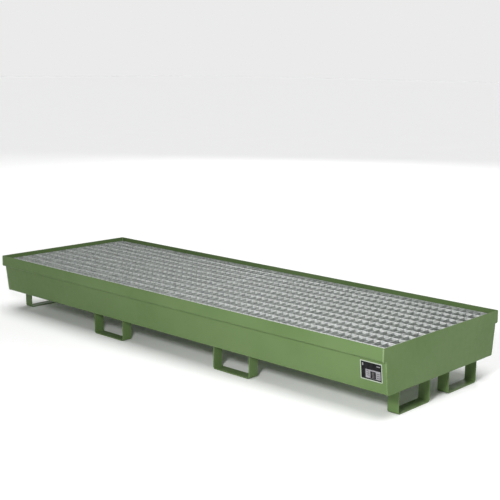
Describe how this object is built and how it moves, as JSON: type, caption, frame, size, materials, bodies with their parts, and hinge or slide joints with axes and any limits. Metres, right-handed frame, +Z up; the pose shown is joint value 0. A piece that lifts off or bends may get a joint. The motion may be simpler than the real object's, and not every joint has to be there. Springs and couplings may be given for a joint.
{
  "type": "spill containment pallet",
  "caption": "Long green steel sump on U-shaped flat-bar feet with fork access from all sides, and galvanised lift-out gratings that carry upright drums above it.",
  "frame": {"origin": "on the floor, under the middle of the pallet", "axes": "+X along the row of drums, +Y across the pallet away from the face with the rating plate, +Z up"},
  "size_m": [2.4, 0.8, 0.285],
  "materials": {
    "green_paint": "satin reseda-green coating",
    "galvanised_steel": "hot-dip galvanised, dull",
    "plate_print": "printed aluminium plate, blank"
  },
  "bodies": {
    "tray": {"sump_trough": "green_paint", "ledge_front": "green_paint", "ledge_back": "green_paint", "rim_front": "green_paint", "rim_back": "green_paint", "end_plate_left": "green_paint", "end_plate_right": "green_paint", "foot_front_side_left": "green_paint", "foot_left_end_front": "green_paint", "foot_back_side_left": "green_paint", "foot_left_end_back": "green_paint", "foot_front_side_right": "green_paint", "foot_right_end_front": "green_paint", "foot_back_side_right": "green_paint", "foot_right_end_back": "green_paint", "rating_plate": "plate_print"},
    "grating_left": {"grating_left_mesh": "galvanised_steel", "grating_left_front_bar": "galvanised_steel", "grating_left_back_bar": "galvanised_steel", "grating_left_outer_bar": "galvanised_steel", "grating_left_inner_bar": "galvanised_steel"},
    "grating_right": {"grating_right_mesh": "galvanised_steel", "grating_right_front_bar": "galvanised_steel", "grating_right_back_bar": "galvanised_steel", "grating_right_outer_bar": "galvanised_steel", "grating_right_inner_bar": "galvanised_steel"}
  },
  "joints": [
    {"name": "lift_grating_left", "type": "slide", "parent": "tray", "child": "grating_left", "axis": [0, 0, 1], "range_m": [0, 0.3]},
    {"name": "lift_grating_right", "type": "slide", "parent": "tray", "child": "grating_right", "axis": [0, 0, 1], "range_m": [0, 0.3]}
  ]
}
